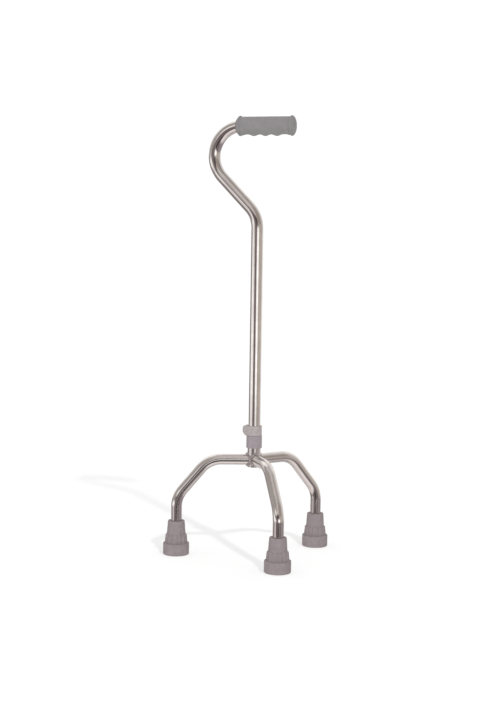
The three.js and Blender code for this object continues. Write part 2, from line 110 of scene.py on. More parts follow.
# Socket, sleeve and lock
SOCKET_RADIUS = socket_high.x
SOCKET_BORE = 11.2 * MM
SLEEVE_RADIUS = sleeve_high.x
SLEEVE_BORE = 12.4 * MM
COLLAR_RADIUS = collar_high.x
COLLAR_LIP_BORE = 11.3 * MM
COLLAR_LIP_HEIGHT = socket_high.z + TUBE_GAP
NOSE_REACH = -cap_low.x
NOSE_HALF_WIDTH = 6 * MM
NOSE_CORNER = 5 * MM
NOSE_CHAMFER = 6 * MM
NOSE_PARTING = -collar_low.x
PIN_CHAMBER_RADIUS = 4.3 * MM
PIN_CHAMBER_END = 16.9 * MM
PIN_TAIL_RADIUS = 1.6 * MM
PIN_TAIL_GAP = 0.2 * MM
PIN_RADIUS = 2.5 * MM
PIN_FLANGE_START = 12.7 * MM
PIN_FLANGE_END = 13.5 * MM
PIN_FLANGE_RADIUS = 3.8 * MM
SPRING_WIRE_RADIUS = 0.18 * MM
SPRING_COIL_RADIUS = 2.9 * MM
SPRING_TURNS = 3
SPRING_WIRE_FACETS = 8

# Legs and ferrules
SIDES = ("right", "left", "rear")
LEG_RADIUS = 10 * MM
LEG_WALL = 1.2 * MM
LEG_HEIGHT = 177.5 * MM
LEG_LEVEL_RUN = 82 * MM
LEG_SLOPE = math.radians(50)
LEG_BEND_RADIUS = 48 * MM
LEG_ROOT_GAP = 0.6 * MM
WELD_REACH = 2.9 * MM
WELD_RIPPLES = 19
WELD_FACETS = 8  # sections of bead to a ripple
WELD_STEPS = 8  # across the bead
WELD_SWELL = 0.3  # height of the ripples, as a share of the reach
WELD_WANDER = 0.1  # height of the slow waves round the seam, as a share of the reach
WELD_WANDER_WAVES = 3
WELD_WANDER_START = 1
WELD_BOW = 0.35  # how far a ripple bows along the bead, in ripples
WELD_CROWN = 0.2  # how far the bead's middle stands out, as a share of the reach
WELD_SINK = 0.2 * MM
FERRULE_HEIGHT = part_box("ferrule_rear")[1].z
CONE_TOP_RADIUS = 15.4 * MM
CONE_BOTTOM_RADIUS = 17.3 * MM
SKIRT_TOP = 37.8 * MM
SKIRT_TOP_RADIUS = 19.4 * MM
SKIRT_BOTTOM_RADIUS = 21 * MM
RING_TOP = 21.5 * MM
RING_RADIUS = 24 * MM
FERRULE_BORE_BOTTOM = 14 * MM
FLUTES = 16
FLUTE_DEPTH = 1.4 * MM
FLUTE_POWER = 0.7  # below 1 it narrows the ribs between the flutes
FACET_DEPTH = 0.35 * MM  # of the shallow flutes that run on up the cone
FERRULE_MOUTH = 1.4 * MM
TREAD_GROOVES = (9.8 * MM, 16.8 * MM)
TREAD_GROOVE_WIDTH = 3.6 * MM
TREAD_GROOVE_DEPTH = 1.5 * MM
TREAD_GROOVE_SHAPE = ((-1 / 2, 0), (-1 / 3, 1), (1 / 3, 1), (1 / 2, 0))  # shares of width and depth
WASHER_RADIUS = 9.8 * MM
WASHER_HOLE_RADIUS = 3 * MM

# Edges and fineness of the meshes
MERGE_DISTANCE = 1e-7
TUBE_EASE = 0.2 * MM
SMALL_EDGE = 0.2 * MM
PLUG_EDGE = 1.2 * MM
PIN_EDGE = 0.6 * MM
GRIP_EDGE = 0.6 * MM
SLEEVE_EDGE = 0.6 * MM
COLLAR_EDGE = 0.7 * MM
CAP_EDGE = 1.0 * MM
CAP_CORNER = 1.4 * MM
RING_BOTTOM_EDGE = 2 * MM
FERRULE_EDGE = 1.2 * MM
FERRULE_CREASE = 0.5 * MM
SHAFT_FACETS = 64
LEG_FACETS = 48
LATHE_FACETS = 96
SMALL_FACETS = 24
WASHER_FACETS = 48
FERRULE_FACETS = 128
WINDOW_STEPS = 8  # rows and columns of wall that one hole's window takes
FILLET_STEPS = 5
COLLAR_FLAT_STEPS = 10
BEND_STEP = math.radians(1.5)
RUN_STEP = 6 * MM
GRIP_STEP = 1 * MM
FERRULE_STEP = 1.5 * MM
SHARP_ANGLE = math.radians(38)

# Directions
ACROSS = Vector((0, 1, 0))  # square to the upright plane that a tube is bent in
OUTWARD = Vector((1, 0, 0))
BACK = Vector((-1, 0, 0))

# Camera, placed round the +Z axis from a start on the -Y side
CAMERA_AZIMUTH = math.radians(20.193)
CAMERA_DISTANCE = 2.6187
CAMERA_HEIGHT = 0.62966
CAMERA_PITCH = math.radians(5.862)
CAMERA_YAW = math.radians(-0.614)
CAMERA_ROLL = math.radians(0.803)
CAMERA_LENS = 72
CAMERA_SENSOR = 36
CAMERA_REACH = 600  # the furthest that it sees

# Floor
FLOOR_RINGS = (0, 0.5, 2, 8, 60)  # radii of its mesh's loops
FLOOR_GAP = 0.1 * MM
FLOOR_GLOW = 0.37
FLOOR_COLOUR = (0.8, 0.8, 0.8)
FLOOR_CLOUD_COLOUR = (0.784, 0.784, 0.784)
FLOOR_CLOUD_SIZE = 0.4

# Chrome
CHROME_COLOUR = (0.82, 0.795, 0.78)
CHROME_HAZE_COLOUR = (0.73, 0.695, 0.675)
CHROME_HAZE_SIZE = 18 * MM
CHROME_ROUGHNESS = (0.06, 0.12)
CHROME_LINE_SIZE = 0.6 * MM
CHROME_LINE_STRETCH = (1, 1, 0.02)
CHROME_LINE_ROUGHNESS = 0.05
CHROME_WAVE_SIZE = 12 * MM
CHROME_WAVE_STRETCH = (1, 1, 0.3)
CHROME_WAVE_HEIGHT = 0.15 * MM
CHROME_SPECK_COLOUR = (0.42, 0.38, 0.36)
CHROME_SPECK_SIZE = 0.8 * MM
CHROME_SPECK_EDGES = (0.68, 0.76)
CHROME_SPECK_STRENGTH = 0.7

# Weld
WELD_COLOUR = (0.86, 0.83, 0.83)
WELD_LUMP_COLOUR = (0.3, 0.26, 0.265)
WELD_LUMP_SIZE = 1.6 * MM
WELD_LUMP_HEIGHT = 0.8 * MM
WELD_GRAIN_SIZE = 0.35 * MM
WELD_GRAIN_HEIGHT = 0.05 * MM
WELD_ROUGHNESS = (0.14, 0.34)

# Plain steel
STEEL_COLOUR = (0.58, 0.58, 0.59)
STEEL_STAIN_COLOUR = (0.44, 0.42, 0.41)
STEEL_STAIN_SIZE = 3 * MM
STEEL_GRAIN_SIZE = 0.3 * MM
STEEL_GRAIN_STRETCH = (0.1, 1, 1)
STEEL_GRAIN_HEIGHT = 0.01 * MM
STEEL_ROUGHNESS = (0.25, 0.45)

# Mouldings
MOULD_DRIFT_HEIGHT = 0.15 * MM
MOULD_SPECK_SIZE = 3  # in grains
MOULD_SPECK_EDGES = (0.62, 0.75)
MOULD_SPECK_STRENGTH = 0.35
MOULD_SPECK_LIGHTNESS = 1.5

NOISE_RANGE = (0.3, 0.7)  # where nearly all of a noise's values lie

# Light
BACKDROP_COLOUR = (1, 1, 1)
BACKDROP_STRENGTH = 1.05
DOME_STRENGTH = 0.5
GLARE = (1.4, 1.38, 1.36)
WHITE = (1.15, 1.13, 1.11)
CREAM = (0.92, 0.89, 0.86)
PETAL = (0.92, 0.86, 0.845)
BLUSH = (0.88, 0.81, 0.8)
ROSE = (0.86, 0.75, 0.74)
LILAC = (0.67, 0.615, 0.595)
PALE = (0.62, 0.585, 0.575)
BEIGE = (0.54, 0.485, 0.435)
BROWN = (0.43, 0.385, 0.36)
GREY = (0.42, 0.395, 0.375)
UMBER = (0.38, 0.335, 0.3)
MAUVE = (0.34, 0.29, 0.305)
ASH = (0.3, 0.275, 0.27)
SLATE = (0.22, 0.21, 0.2)
PLUM = (0.2, 0.165, 0.17)
MAROON = (0.2, 0.16, 0.16)
COCOA = (0.17, 0.135, 0.135)
DUSK = (0.15, 0.12, 0.125)
COAL = (0.1, 0.08, 0.08)
BLACK = (0.03, 0.025, 0.025)
# What the chrome mirrors, each panel over those above it. Azimuth from the camera's side, positive
# to its right, and elevation, each from and to in degrees, the softness of the edges in degrees,
# and the colour
STUDIO_PANELS = [
    (-190, -122, -14, 70, 8, WHITE),
    (-172, -124, 2, 24, 6, PALE),
    (116, 190, -12, 55, 10, CREAM),
    (-85, 90, 24, 62, 10, BROWN),
    (-116, -56, 3, 50, 6, GREY),
    (0, 80, 4, 46, 8, UMBER),
    (28, 112, -11, 8, 5, BEIGE),
    (-98, -44, -11, 0.5, 2, WHITE),
    (-125, 150, -38, -9.5, 2.5, MAUVE),
    (-130, -32, -62, -38, 6, ROSE),
    (-132, -88, -38, -18, 6, SLATE),
    (-77, -50, -27, -11, 4, BLUSH),
    (16, 60, -34, -9.5, 4, PLUM),
    (-46, 0, -42, -9, 4, COCOA),
    (-4, 16, -44, -9, 3, BLACK),
    (-64, -5, -1, 15, 5, DUSK),
    (-40, -7, -12, 6, 3, MAROON),
    (-14, 16, 18, 76, 4, LILAC),
    (-16, 14, 3, 17, 2.5, COAL),
    (-40, 70, -84, -43, 4, PETAL),
    (2, 34, -9, 1, 2, GLARE),
    (-58, -34, 8, 22, 4, WHITE),
    (-150, -100, -12, 3, 3, ASH),
]
# Name, azimuth and elevation in degrees, strength, softness in degrees, whether it casts shadows
SUNS = [
    ("key_light", 25, 44, 0.72, 3, True),
    ("left_fill", -32, 16, 0.7, 20, False),
    ("top_fill", 10, 62, 0.35, 20, False),
]


# --- Mesh building ---

class Shell:
    """The points and faces of one piece, gathered loop by loop."""

    def __init__(self):
        self.points = []
        self.places = []
        self.faces = []

    def loop(self, points, places=None):
        """Adds a closed loop of points and returns their numbers. Places are where the points lie on
        a tube once it is straightened."""
        start = len(self.points)
        self.points.extend(Vector(p) for p in points)
        self.places.extend(Vector(p) for p in (points if places is None else places))
        return list(range(start, len(self.points)))

    def bridge(self, first, second, skipped=()):
        """Quads between two loops of the same length, apart from the skipped ones."""
        count = len(first)
        for i in range(count):
            if i not in skipped:
                j = (i + 1) % count
                self.faces.append((first[i], first[j], second[j], second[i]))

    def bridge_all(self, loops, closed=False):
        for first, second in zip(loops, loops[1:]):
            self.bridge(first, second)
        if closed:
            self.bridge(loops[-1], loops[0])

    def moved(self, matrix):
        self.points = [matrix @ p for p in self.points]
        return self


def tidied(mesh):
    """Merges doubled points, turns the faces outward and shades them smooth."""
    work = bmesh.new()
    work.from_mesh(mesh)
    bmesh.ops.remove_doubles(work, verts=work.verts, dist=MERGE_DISTANCE)
    bmesh.ops.dissolve_degenerate(work, edges=work.edges, dist=MERGE_DISTANCE)
    bmesh.ops.recalc_face_normals(work, faces=work.faces)
    for face in work.faces:
        face.smooth = True
    work.to_mesh(mesh)
    work.free()
    mesh.set_sharp_from_angle(angle=SHARP_ANGLE)


def mesh_of(name, shell):
    """A shell as a mesh, which keeps the shell's places as an attribute."""
    mesh = bpy.data.meshes.new(name)
    mesh.from_pydata(shell.points, [], shell.faces)
    place = mesh.attributes.new("place", "FLOAT_VECTOR", "POINT")
    place.data.foreach_set("vector", np.array(shell.places, np.float32).ravel())
    tidied(mesh)
    return mesh


def linked(name, data):
    """A new object in the scene."""
    made = bpy.data.objects.new(name, data)
    bpy.context.scene.collection.objects.link(made)
    return made


def add_piece(name, shell, body, node, slot, bores=()):
    """A finished piece, less its bores, that rides on a body and stands for a CAD node."""
    piece = linked(name, mesh_of(name, shell))
    if bores:
        carve(piece, bores)
    piece.data.materials.append(FINISHES[slot])
    weighted = piece.modifiers.new("weighted_normals", "WEIGHTED_NORMAL")
    weighted.keep_sharp = True
    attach(piece, body)
    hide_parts(node)
    return piece


def carve(piece, bores):
    """Cuts the bores, which are shells, out of the piece."""
    for number, bore in enumerate(bores):
        tool = linked(f"bore_{number}", mesh_of("bore", bore))
        cut = piece.modifiers.new("cut", "BOOLEAN")
        cut.operation = "DIFFERENCE"
        cut.solver = "EXACT"
        cut.object = tool
        bpy.context.view_layer.update()
        evaluated = piece.evaluated_get(bpy.context.evaluated_depsgraph_get())
        mesh = bpy.data.meshes.new_from_object(evaluated)
        piece.modifiers.clear()
        piece.data = mesh
        bpy.data.objects.remove(tool)
    tidied(piece.data)


def round_angles(count):
    return [2 * math.pi * i / count for i in range(count)]


def smooth_step(value, low, high):
    share = min(1.0, max(0.0, (value - low) / (high - low)))
    return share * share * (3 - 2 * share)


def blended(first, second, share):
    return first + (second - first) * share


def rounded(corners, closed=False):
    """An outline of (radius, height) points from (radius, height, fillet) corners."""
    outline = []
    count = len(corners)
    for i, (radius, height, fillet) in enumerate(corners):
        point = Vector((radius, height))
        if fillet == 0 or (not closed and i in (0, count - 1)):
            outline.append(point)
            continue
        before = (Vector(corners[i - 1][:2]) - point).normalized()
        after = (Vector(corners[(i + 1) % count][:2]) - point).normalized()
        half = before.angle(after) / 2
        centre = point + (before + after).normalized() * fillet / math.sin(half)
        start = point + before * fillet / math.tan(half) - centre
        end = point + after * fillet / math.tan(half) - centre
        sweep = math.pi - 2 * half
        for step in range(FILLET_STEPS + 1):
            share = step / FILLET_STEPS
            arc = start * math.sin((1 - share) * sweep) + end * math.sin(share * sweep)
            outline.append(centre + arc / math.sin(sweep))
    return outline


def spaced(outline, step):
    """The outline with points added so that none lie further apart than a step."""
    made = [outline[0]]
    for point in outline[1:]:
        start = made[-1]
        count = max(1, math.ceil((point - start).length / step))
        made.extend(start.lerp(point, i / count) for i in range(1, count + 1))
    return made


def lathe(outline, place=None, facets=LATHE_FACETS, closed=False, reshape=None):
    """A shell turned from an outline round the Z axis, then placed. Reshape gives a point's radius
    from its radius, height and angle."""
    shell = Shell()
    loops = []
    for radius, height in outline:
        ring = []
        for angle in round_angles(facets):
            reach = reshape(radius, height, angle) if reshape else radius
            ring.append((reach * math.cos(angle), reach * math.sin(angle), height))
        loops.append(shell.loop(ring))
    shell.bridge_all(loops, closed)
    return shell.moved(place) if place else shell


def ring_shell(bore, radius, low, high, edge, place=None, facets=LATHE_FACETS):
    """A flat ring. The edge is the fillet of its outer corners."""
    corners = [
        (bore, low, SMALL_EDGE),
        (radius, low, edge),
        (radius, high, edge),
        (bore, high, SMALL_EDGE),
    ]
    return lathe(rounded(corners, closed=True), place, facets, closed=True)


def backward(height):
    """Turns a lathe's axis along -X, at a height, with its zero on the shaft's axis."""
    return Matrix.Translation((0, 0, height)) @ Matrix.Rotation(-math.pi / 2, 4, "Y")


# --- Tubes ---

class Route:
    """Straight runs in one upright plane, joined by bends of one radius. A station holds a point,
    the heading there and the distance from the start. Marks are distances on the first run that
    get a station of their own."""

    def __init__(self, corners, bend_radius, marks=()):
        self.stations = []
        self.length = 0.0
        corners = [Vector(c) for c in corners]
        headings = [(b - a).normalized() for a, b in zip(corners, corners[1:])]
        self.add(corners[0], headings[0])
        bends = zip(corners[1:-1], headings, headings[1:])
        for number, (corner, before, after) in enumerate(bends):
            self.add_bend(corner, before, after, bend_radius, marks if number == 0 else ())
        self.run_to(corners[-1], headings[-1], marks if len(corners) == 2 else ())

    def add(self, point, heading):
        if self.stations:
            self.length += (point - self.stations[-1][0]).length
        self.stations.append((point, heading, self.length))

    def run_to(self, end, heading, marks=()):
        start = self.stations[-1][0]
        stops = [0, *marks, (end - start).length]
        for near, far in zip(stops, stops[1:]):
            steps = max(1, round((far - near) / RUN_STEP))
            for step in range(1, steps + 1):
                self.add(start + heading * blended(near, far, step / steps), heading)

    def add_bend(self, corner, before, after, radius, marks):
        turn = before.angle(after)
        axis = before.cross(after).normalized()
        start = corner - before * radius * math.tan(turn / 2)
        centre = start + axis.cross(before) * radius
        self.run_to(start, before, marks)
        steps = math.ceil(turn / BEND_STEP)
        for step in range(1, steps + 1):
            rotation = Matrix.Rotation(turn * step / steps, 3, axis)
            self.add(centre + rotation @ (start - centre), rotation @ before)

    def ring(self, station, radius, facets):
        """The loop of points round one station, and their places on the straightened tube."""
        point, heading, distance = station
        normal = ACROSS.cross(heading)
        points = []
        places = []
        for angle in round_angles(facets):
            points.append(point + radius * (math.cos(angle) * normal + math.sin(angle) * ACROSS))
            places.append((radius * math.cos(angle), radius * math.sin(angle), distance))
        return points, places


def window_half(outer):
    return outer * math.sin(math.pi * WINDOW_STEPS / SHAFT_FACETS)


def window_marks(outer, middles):
    """The distances along a tube at which its windows need rows of points."""
    half = window_half(outer)
    steps = range(WINDOW_STEPS + 1)
    return [middle + half * (2 * step / WINDOW_STEPS - 1) for middle in middles for step in steps]


class Window:
    """The patch of an upright tube's wall, on its -X side, that one round hole takes."""

    def __init__(self, route, outer, middle):
        self.height = route.stations[0][0].z + middle
        start = middle - window_half(outer)
        from_start = [abs(distance - start) for _, _, distance in route.stations]
        self.low = from_start.index(min(from_start))
        self.high = self.low + WINDOW_STEPS
        self.left = (SHAFT_FACETS - WINDOW_STEPS) // 2
        self.right = self.left + WINDOW_STEPS

    def border(self):
        """The (row, column) stations round the patch, in order."""
        rows = range(self.low, self.high)
        columns = range(self.left, self.right)
        border = [(self.low, column) for column in columns]
        border += [(row, self.right) for row in rows]
        border += [(self.high, column + 1) for column in reversed(columns)]
        border += [(row + 1, self.left) for row in reversed(rows)]
        return border


def tube(route, outer, inner, facets, windows=()):
    """A walled tube with eased ends, with its faces left out in the windows. Loops run up the
    outside and back down the inside."""
    shell = Shell()
    first, *middle, last = route.stations
    courses = [(first, outer - TUBE_EASE), *[(s, outer) for s in middle], (last, outer - TUBE_EASE)]
    courses += [(station, inner) for station in reversed(route.stations)]
    loops = [shell.loop(*route.ring(station, radius, facets)) for station, radius in courses]
    top_row = len(route.stations) - 1
    for number, (lower, upper) in enumerate(zip(loops, loops[1:] + loops[:1])):
        row = min(number, 2 * top_row - number)
        skipped = [range(w.left, w.right) for w in windows if w.low <= row < w.high]
        shell.bridge(lower, upper, skipped[0] if skipped else ())
    return shell, loops


def drilled_tube(bottom, route_from_marks, outer, inner, hole_heights):
    """A tube whose upright first run has round holes through its -X side."""
    middles = [height - bottom for height in hole_heights]
    route = route_from_marks(window_marks(outer, middles))
    windows = [Window(route, outer, middle) for middle in middles]
    shell, loops = tube(route, outer, inner, SHAFT_FACETS, windows)
    for window in windows:
        drill(shell, loops, window, outer, inner)
    return shell


def drill(shell, loops, window, outer, inner):
    """Fills a window with wall round a hole."""
    bottom = shell.points[loops[0][0]].z

    def course(radius, flat, sunk):
        points = [(sunk - math.sqrt(radius**2 - y**2), y, window.height + z) for y, z in flat]
        return shell.loop(points, [(x, y, z - bottom) for x, y, z in points])

    def courses(radius, numbers, rims):
        flat = [Vector((shell.points[i].y, shell.points[i].z - window.height)) for i in numbers]
        circle = [point.normalized() for point in flat]
        made = [numbers]
        for share in HOLE_COURSES:
            ring = [point.lerp(turn * rims[0][0], share) for point, turn in zip(flat, circle)]
            made.append(course(radius, ring, 0))
        for rim, sunk in rims:
            made.append(course(radius, [turn * rim for turn in circle], sunk))
        return made

    outside = [loops[row][column] for row, column in window.border()]
    inside = [loops[-1 - row][column] for row, column in window.border()]
    outer_rims = [(HOLE_RADIUS + HOLE_EDGE, 0), (HOLE_RADIUS, HOLE_EDGE)]
    made = courses(outer, outside, outer_rims)
    made += reversed(courses(inner, inside, [(HOLE_RADIUS, 0)]))
    shell.bridge_all(made)


# --- Shaft, grip and end plug ---

def shaft_route(marks=()):
    centre_x = NECK_BEND_RADIUS - NECK_SETBACK
    centre_z = GRIP_HEIGHT - NECK_BEND_RADIUS
    touch_x = centre_x - NECK_BEND_RADIUS * math.cos(NECK_RAKE)
    touch_z = centre_z - NECK_BEND_RADIUS * math.sin(NECK_RAKE)
    neck = Vector((0, 0, touch_z + touch_x / math.tan(NECK_RAKE)))
    crown = (-(GRIP_HEIGHT - neck.z) * math.tan(NECK_RAKE), 0, GRIP_HEIGHT)
    corners = [(0, 0, shaft_low.z), neck, crown, (shaft_high.x, 0, GRIP_HEIGHT)]
    return Route(corners, NECK_BEND_RADIUS, marks)


def shaft_shell():
    heights = [PIN_HEIGHT + i * HOLE_PITCH for i in range(-HOLES_BELOW, HOLES_ABOVE + 1)]
    inner = SHAFT_RADIUS - SHAFT_WALL
    return drilled_tube(shaft_low.z, shaft_route, SHAFT_RADIUS, inner, heights)


def end_plug_shell():
    stem = SHAFT_RADIUS - SHAFT_WALL - TUBE_GAP
    shoulder = plug_low.z + PLUG_LIP
    corners = [
        (0, plug_low.z, 0),
        (plug_high.y, plug_low.z, PLUG_EDGE),
        (plug_high.y, shoulder, SMALL_EDGE),
        (stem, shoulder, 0),
        (stem, plug_high.z, PLUG_EDGE),
        (0, plug_high.z, 0),
    ]
    return lathe(rounded(corners))


def grip_outline():
    """(radius, distance along the grip) from the closed end round to the mouth."""
    half = GRIP_FLANGE_HALF_WIDTH
    corners = [
        (GRIP_DIMPLE_RADIUS, grip_high.x, SMALL_EDGE),
        (GRIP_FACE_RADIUS, grip_high.x, GRIP_EDGE),
        (GRIP_RADIUS, LAST_FLANGE + half, SMALL_EDGE),
        (GRIP_FLANGE_RADIUS, LAST_FLANGE + half / 3, GRIP_EDGE),
        (GRIP_FLANGE_RADIUS, LAST_FLANGE - half / 3, GRIP_EDGE),
        (GRIP_NECK_RADIUS, LAST_FLANGE - half, GRIP_EDGE),
        (GRIP_RADIUS, LAST_FLANGE - 2 * half, GRIP_EDGE),
        (GRIP_RADIUS, FIRST_FLANGE + 2 * half, GRIP_EDGE),
        (GRIP_NECK_RADIUS, FIRST_FLANGE + half, GRIP_EDGE),
        (GRIP_FLANGE_RADIUS, FIRST_FLANGE + half / 3, GRIP_EDGE),
        (GRIP_FLANGE_RADIUS, FIRST_FLANGE - half / 3, GRIP_EDGE),
        (GRIP_NECK_RADIUS, FIRST_FLANGE - half, GRIP_EDGE),
        (GRIP_MOUTH_RADIUS, grip_low.x, SMALL_EDGE),
        (SHAFT_RADIUS + TUBE_GAP, grip_low.x, 0),
    ]
    return spaced(rounded(corners), GRIP_STEP)


def pressed_radius(radius, along, angle):
    """The grip's radius with finger waves pressed into it. The angle is from straight down."""
    to_crest = min(abs(along - crest) for crest in (FIRST_FLANGE, *FINGER_RIDGES, LAST_FLANGE))
    slope = math.hypot(to_crest, FINGER_RIDGE_ROUNDING) - FINGER_RIDGE_ROUNDING
    rise = max(0, 1 - slope / (FINGER_RIDGE_REACH - FINGER_RIDGE_ROUNDING)) ** FINGER_RIDGE_POWER
    depth = blended(FINGER_VALLEY_RADIUS, FINGER_RIDGE_RADIUS, rise)
    below = smooth_step(math.cos(angle), *FINGER_SPREAD)
    to_flange = min(abs(along - FIRST_FLANGE), abs(along - LAST_FLANGE))
    clear = smooth_step(to_flange, GRIP_FLANGE_HALF_WIDTH / 2, 2 * GRIP_FLANGE_HALF_WIDTH)
    inside = FIRST_FLANGE < along < LAST_FLANGE
    return radius + (depth - GRIP_RADIUS) * below * clear * inside


def grip_shell():
    shell = Shell()
    bore = SHAFT_RADIUS + TUBE_GAP
    bore_end = shaft_high.x + TUBE_GAP

    def course(radius, along, press=False):
        ring = []
        for angle in round_angles(LATHE_FACETS):
            reach = pressed_radius(radius, along, angle) if press else radius
            ring.append((along, reach * math.sin(angle), GRIP_HEIGHT - reach * math.cos(angle)))
        return shell.loop(ring)

    loops = [course(VENT_RADIUS, bore_end), course(VENT_RADIUS, grip_high.x - GRIP_DIMPLE_DEPTH)]
    loops += [course(radius, along, True) for radius, along in grip_outline()[:-1]]
    route = shaft_route()
    for station in route.stations:
        point, heading, _ = station
        if heading.x > 0 and point.x > grip_low.x:
            ring, _ = route.ring(station, bore, LATHE_FACETS)
            loops.append(shell.loop(onto_mouth(ring, heading)))
    loops.append(course(bore, bore_end))
    shell.bridge_all(loops, closed=True)
    return shell


def onto_mouth(ring, heading):
    """Slides the points of a ring that stick out of the grip's mouth back to it along the tube."""
    return [p + heading * max(0, grip_low.x - p.x) / heading.x for p in ring]


# --- Socket, sleeve and lock ---

def socket_shell():
    def route(marks):
        return Route([(0, 0, socket_low.z), (0, 0, socket_high.z)], 0, marks)

    return drilled_tube(socket_low.z, route, SOCKET_RADIUS, SOCKET_BORE, [PIN_HEIGHT])


def sleeve_shell():
    return ring_shell(SLEEVE_BORE, SLEEVE_RADIUS, sleeve_low.z, sleeve_high.z, SLEEVE_EDGE)


def nose_tangent():
    """The angle round the collar at which its side leaves the ring for the tip of the nose."""
    reach = math.hypot(NOSE_REACH, NOSE_HALF_WIDTH)
    return math.atan2(NOSE_HALF_WIDTH, -NOSE_REACH) - math.acos(COLLAR_RADIUS / reach)


def nose_width(back):
    """Half the nose's width at a distance behind the shaft's axis."""
    tangent = nose_tangent()
    return (COLLAR_RADIUS + back * math.cos(tangent)) / math.sin(tangent)


def nose_top(back):
    """The collar's top: level, then rounded down over the nose."""
    past = max(0, back - (NOSE_REACH - NOSE_CORNER))
    return collar_high.z - NOSE_CORNER + math.sqrt(max(0, NOSE_CORNER**2 - past**2))


def nose_bottom(back):
    """The collar's underside: level, then cut up at 45 degrees under the nose."""
    return collar_low.z + max(0, back - (NOSE_REACH - NOSE_CHAMFER))


def collar_reach(angle):
    """The collar's outline seen from above, as a distance from the shaft's axis."""
    turn = abs(angle)
    if turn <= nose_tangent():
        return COLLAR_RADIUS
    return min(COLLAR_RADIUS / math.cos(turn - nose_tangent()), NOSE_PARTING / abs(math.cos(angle)))


def collar_shell():
    shell = Shell()
    corner = math.atan2(nose_width(NOSE_PARTING), -NOSE_PARTING)
    angles = [a - math.pi for a in round_angles(LATHE_FACETS)]
    angles = sorted([*angles, corner, -corner, nose_tangent(), -nose_tangent()])
    loops = [shell.loop(collar_section(angle)) for angle in angles]
    shell.bridge_all(loops, closed=True)
    return shell


def collar_section(angle):
    """The closed loop of points in one upright half-plane through the collar's ring."""
    reach = collar_reach(angle)
    fillet = round_angles(4 * FILLET_STEPS)[: FILLET_STEPS + 1]
    flat = range(1, COLLAR_FLAT_STEPS)
    floor = [blended(SLEEVE_BORE, reach - COLLAR_EDGE, i / COLLAR_FLAT_STEPS) for i in flat]
    roof = [blended(reach - COLLAR_EDGE, COLLAR_LIP_BORE, i / COLLAR_FLAT_STEPS) for i in flat]
    section = [(SLEEVE_BORE, nose_bottom, 0), *[(radius, nose_bottom, 0) for radius in floor]]
    for limit, up, turns in ((nose_bottom, 1, fillet), (nose_top, -1, reversed(fillet))):
        for turn in turns:
            rim = reach - COLLAR_EDGE * (1 - math.sin(turn))
            section.append((rim, limit, up * COLLAR_EDGE * (1 - math.cos(turn))))
    section += [(radius, nose_top, 0) for radius in roof]
    section.append((COLLAR_LIP_BORE, nose_top, 0))
    heights = [(radius, limit(-radius * math.cos(angle)) + lift) for radius, limit, lift in section]
    heights += [(COLLAR_LIP_BORE, COLLAR_LIP_HEIGHT), (SLEEVE_BORE, COLLAR_LIP_HEIGHT)]
    return [(r * math.cos(angle), r * math.sin(angle), z) for r, z in heights]


def pin_bore(radius, start, end):
    outline = [Vector(p) for p in ((0, start), (radius, start), (radius, end), (0, end))]
    return lathe(outline, backward(PIN_HEIGHT))


def cap_shell():
    """The release cap: loops from the bottom of its blind hole, over its back, round to its face."""
    shell = Shell()
    hole = PIN_TAIL_RADIUS + PIN_TAIL_GAP
    hole_end = -pin_low.x + TUBE_GAP
    back = -cap_high.x

    def outer(distance, inset):
        half_width = nose_width(distance) - inset
        top = nose_top(distance) - inset
        bottom = nose_bottom(distance) + inset
        corner = max(SMALL_EDGE, CAP_CORNER - inset)
        ring = []
        for side, level, first in ((1, top, 0), (-1, top, 1), (-1, bottom, 2), (1, bottom, 3)):
            centre_y = side * (half_width - corner)
            centre_z = level - corner if level == top else level + corner
            for step in range(FILLET_STEPS + 1):
                turn = (first + step / FILLET_STEPS) * math.pi / 2
                y = centre_y + corner * math.cos(turn)
                z = centre_z + corner * math.sin(turn)
                ring.append((-distance, y, z))
        return ring

    def circle(distance, radius):
        ring = []
        for _, y, z in outer(back, 0):
            turn = math.atan2(z - PIN_HEIGHT, y)
            ring.append((-distance, radius * math.cos(turn), PIN_HEIGHT + radius * math.sin(turn)))
        return ring

    rings = [circle(hole_end, 0), circle(hole_end, hole), circle(back, hole), outer(back, CAP_EDGE / 2)]
    rings.append(outer(back + CAP_EDGE / 2, 0))
    for step in range(FILLET_STEPS + 1):
        turn = step / FILLET_STEPS * math.pi / 2
        distance = NOSE_REACH - CAP_EDGE * (1 - math.sin(turn))
        rings.append(outer(distance, CAP_EDGE * (1 - math.cos(turn))))
    rings.append(circle(NOSE_REACH, 0))
    shell.bridge_all([shell.loop(ring) for ring in rings])
    return shell


def pin_shell():
    tip = -pin_high.x
    corners = [
        (0, tip, 0),
        (PIN_RADIUS, tip, PIN_EDGE),
        (PIN_RADIUS, PIN_FLANGE_START, 0),
        (PIN_FLANGE_RADIUS, PIN_FLANGE_START, SMALL_EDGE),
        (PIN_FLANGE_RADIUS, PIN_FLANGE_END, SMALL_EDGE),
        (PIN_TAIL_RADIUS, PIN_FLANGE_END, 0),
        (PIN_TAIL_RADIUS, -pin_low.x, SMALL_EDGE),
        (0, -pin_low.x, 0),
    ]
    return lathe(rounded(corners), backward(PIN_HEIGHT), facets=SMALL_FACETS)


